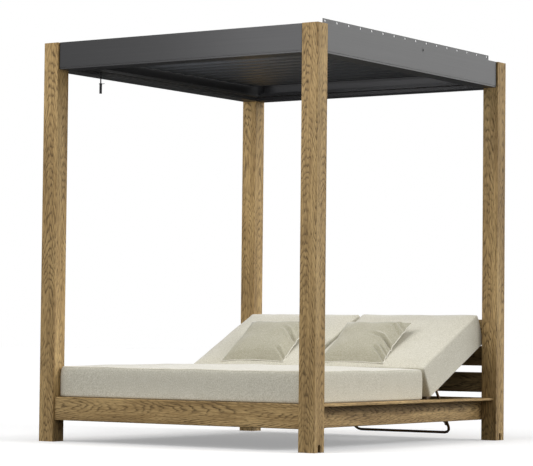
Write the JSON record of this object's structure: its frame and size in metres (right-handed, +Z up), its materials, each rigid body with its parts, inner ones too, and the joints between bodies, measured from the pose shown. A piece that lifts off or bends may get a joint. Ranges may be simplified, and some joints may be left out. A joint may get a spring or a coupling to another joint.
{
  "type": "outdoor daybed",
  "caption": "Oak outdoor daybed with reclining backrests under a canopy of turning metal louvres",
  "frame": {"origin": "on the floor under the middle of the bed frame", "axes": "+X along the foot rail to the right, +Y from the foot to the head, +Z up"},
  "size_m": [1.84, 2.1, 2.287],
  "materials": {
    "oak": "oiled, satin",
    "inner_timber": "planed, plain",
    "beam_aluminium": "fine-textured powder coat",
    "louvre_aluminium": "powder coat",
    "black_steel": "black powder coat",
    "bronze_steel": "dark bronze lacquer",
    "brass": "machined",
    "linen": "woven outdoor cloth"
  },
  "bodies": {
    "frame": {"post_foot_left": "oak", "downpipe_foot_left": "beam_aluminium", "post_foot_right": "oak", "downpipe_foot_right": "beam_aluminium", "post_head_left": "oak", "downpipe_head_left": "beam_aluminium", "post_head_right": "oak", "downpipe_head_right": "beam_aluminium", "foot_rail": "oak", "head_rail": "oak", "side_rail_left": "oak", "side_rail_right": "oak", "side_deck_left": "oak", "side_deck_right": "oak", "hinge_rail": "oak", "head_board_low": "oak", "head_board_middle": "oak", "head_board_top": "oak", "slat_base": "inner_timber", "centre_bearer": "inner_timber", "beam_foot": "beam_aluminium", "beam_head": "beam_aluminium", "beam_left": "beam_aluminium", "beam_right": "beam_aluminium", "louvre_rail_left": "louvre_aluminium", "louvre_rail_right": "louvre_aluminium", "gear_case": "black_steel", "rack_left": "bronze_steel", "rack_right": "bronze_steel", "seat_mattress": "linen"},
    "backrest_left": {"backrest_panel_left": "oak", "hinge_strap_left_a": "bronze_steel", "hinge_strap_left_b": "bronze_steel"},
    "cushion_left": {"back_cushion_left": "linen", "pillow_left": "linen"},
    "prop_left": {"prop_left": "bronze_steel"},
    "backrest_right": {"backrest_panel_right": "oak", "hinge_strap_right_a": "bronze_steel", "hinge_strap_right_b": "bronze_steel"},
    "cushion_right": {"back_cushion_right": "linen", "pillow_right": "linen"},
    "prop_right": {"prop_right": "bronze_steel"},
    "louvre_01": {"louvre_01": "louvre_aluminium"},
    "louvre_02": {"louvre_02": "louvre_aluminium", "worm_wheel": "brass"},
    "louvre_03": {"louvre_03": "louvre_aluminium"},
    "louvre_04": {"louvre_04": "louvre_aluminium"},
    "louvre_05": {"louvre_05": "louvre_aluminium"},
    "louvre_06": {"louvre_06": "louvre_aluminium"},
    "louvre_07": {"louvre_07": "louvre_aluminium"},
    "louvre_08": {"louvre_08": "louvre_aluminium"},
    "louvre_09": {"louvre_09": "louvre_aluminium"},
    "louvre_10": {"louvre_10": "louvre_aluminium"},
    "louvre_11": {"louvre_11": "louvre_aluminium"},
    "louvre_12": {"louvre_12": "louvre_aluminium"},
    "louvre_13": {"louvre_13": "louvre_aluminium"},
    "louvre_14": {"louvre_14": "louvre_aluminium"},
    "louvre_15": {"louvre_15": "louvre_aluminium"},
    "drive_bar": {"drive_bar": "beam_aluminium"},
    "crank": {"crank_spindle": "black_steel"}
  },
  "joints": [
    {"name": "backrest_left_tilt", "type": "hinge", "parent": "frame", "child": "backrest_left", "pos_m": [-0.427, 0.345, 0.246], "axis": [1, 0, 0], "range_deg": [-26, 20]},
    {"name": "cushion_left_slide", "type": "slide", "parent": "backrest_left", "child": "cushion_left", "axis": [0, 0.8988, 0.4384], "range_m": [-0.0802, 0.0618]},
    {"name": "prop_left_swing", "type": "hinge", "parent": "backrest_left", "child": "prop_left", "pos_m": [-0.427, 0.52268, 0.30373], "axis": [1, 0, 0], "range_deg": [-37.5, 48.7]},
    {"name": "backrest_right_tilt", "type": "hinge", "parent": "frame", "child": "backrest_right", "pos_m": [0.427, 0.345, 0.246], "axis": [1, 0, 0], "range_deg": [-26, 20]},
    {"name": "cushion_right_slide", "type": "slide", "parent": "backrest_right", "child": "cushion_right", "axis": [0, 0.8988, 0.4384], "range_m": [-0.0802, 0.0618]},
    {"name": "prop_right_swing", "type": "hinge", "parent": "backrest_right", "child": "prop_right", "pos_m": [0.427, 0.52268, 0.30373], "axis": [1, 0, 0], "range_deg": [-37.5, 48.7]},
    {"name": "louvre_01_turn", "type": "hinge", "parent": "frame", "child": "louvre_01", "pos_m": [0, -0.84, 2.192], "axis": [1, 0, 0], "range_deg": [0, 90]},
    {"name": "louvre_02_turn", "type": "hinge", "parent": "frame", "child": "louvre_02", "pos_m": [0, -0.72, 2.192], "axis": [1, 0, 0], "range_deg": [0, 90]},
    {"name": "louvre_03_turn", "type": "hinge", "parent": "frame", "child": "louvre_03", "pos_m": [0, -0.6, 2.192], "axis": [1, 0, 0], "range_deg": [0, 90]},
    {"name": "louvre_04_turn", "type": "hinge", "parent": "frame", "child": "louvre_04", "pos_m": [0, -0.48, 2.192], "axis": [1, 0, 0], "range_deg": [0, 90]},
    {"name": "louvre_05_turn", "type": "hinge", "parent": "frame", "child": "louvre_05", "pos_m": [0, -0.36, 2.192], "axis": [1, 0, 0], "range_deg": [0, 90]},
    {"name": "louvre_06_turn", "type": "hinge", "parent": "frame", "child": "louvre_06", "pos_m": [0, -0.24, 2.192], "axis": [1, 0, 0], "range_deg": [0, 90]},
    {"name": "louvre_07_turn", "type": "hinge", "parent": "frame", "child": "louvre_07", "pos_m": [0, -0.12, 2.192], "axis": [1, 0, 0], "range_deg": [0, 90]},
    {"name": "louvre_08_turn", "type": "hinge", "parent": "frame", "child": "louvre_08", "pos_m": [0, 0, 2.192], "axis": [1, 0, 0], "range_deg": [0, 90]},
    {"name": "louvre_09_turn", "type": "hinge", "parent": "frame", "child": "louvre_09", "pos_m": [0, 0.12, 2.192], "axis": [1, 0, 0], "range_deg": [0, 90]},
    {"name": "louvre_10_turn", "type": "hinge", "parent": "frame", "child": "louvre_10", "pos_m": [0, 0.24, 2.192], "axis": [1, 0, 0], "range_deg": [0, 90]},
    {"name": "louvre_11_turn", "type": "hinge", "parent": "frame", "child": "louvre_11", "pos_m": [0, 0.36, 2.192], "axis": [1, 0, 0], "range_deg": [0, 90]},
    {"name": "louvre_12_turn", "type": "hinge", "parent": "frame", "child": "louvre_12", "pos_m": [0, 0.48, 2.192], "axis": [1, 0, 0], "range_deg": [0, 90]},
    {"name": "louvre_13_turn", "type": "hinge", "parent": "frame", "child": "louvre_13", "pos_m": [0, 0.6, 2.192], "axis": [1, 0, 0], "range_deg": [0, 90]},
    {"name": "louvre_14_turn", "type": "hinge", "parent": "frame", "child": "louvre_14", "pos_m": [0, 0.72, 2.192], "axis": [1, 0, 0], "range_deg": [0, 90]},
    {"name": "louvre_15_turn", "type": "hinge", "parent": "frame", "child": "louvre_15", "pos_m": [0, 0.84, 2.192], "axis": [1, 0, 0], "range_deg": [0, 90]},
    {"name": "drive_bar_slide", "type": "slide", "parent": "frame", "child": "drive_bar", "axis": [0, 1, 0], "range_m": [-0.0425, 0]},
    {"name": "crank_spin", "type": "hinge", "parent": "frame", "child": "crank", "pos_m": [-0.785, -0.7, 2.1], "axis": [0, 0, -1], "range_deg": [0, 1080]}
  ],
  "couplings": [
    {"joint": "cushion_left_slide", "follows": "backrest_left_tilt", "m_per_rad": 0.1763},
    {"joint": "prop_left_swing", "follows": "backrest_left_tilt", "ratio": -1.871},
    {"joint": "cushion_right_slide", "follows": "backrest_right_tilt", "m_per_rad": 0.1763},
    {"joint": "prop_right_swing", "follows": "backrest_right_tilt", "ratio": -1.871},
    {"joint": "louvre_02_turn", "follows": "louvre_01_turn", "ratio": 1},
    {"joint": "louvre_03_turn", "follows": "louvre_01_turn", "ratio": 1},
    {"joint": "louvre_04_turn", "follows": "louvre_01_turn", "ratio": 1},
    {"joint": "louvre_05_turn", "follows": "louvre_01_turn", "ratio": 1},
    {"joint": "louvre_06_turn", "follows": "louvre_01_turn", "ratio": 1},
    {"joint": "louvre_07_turn", "follows": "louvre_01_turn", "ratio": 1},
    {"joint": "louvre_08_turn", "follows": "louvre_01_turn", "ratio": 1},
    {"joint": "louvre_09_turn", "follows": "louvre_01_turn", "ratio": 1},
    {"joint": "louvre_10_turn", "follows": "louvre_01_turn", "ratio": 1},
    {"joint": "louvre_11_turn", "follows": "louvre_01_turn", "ratio": 1},
    {"joint": "louvre_12_turn", "follows": "louvre_01_turn", "ratio": 1},
    {"joint": "louvre_13_turn", "follows": "louvre_01_turn", "ratio": 1},
    {"joint": "louvre_14_turn", "follows": "louvre_01_turn", "ratio": 1},
    {"joint": "louvre_15_turn", "follows": "louvre_01_turn", "ratio": 1},
    {"joint": "drive_bar_slide", "follows": "louvre_01_turn", "m_per_rad": -0.02701},
    {"joint": "crank_spin", "follows": "louvre_01_turn", "ratio": 12}
  ]
}
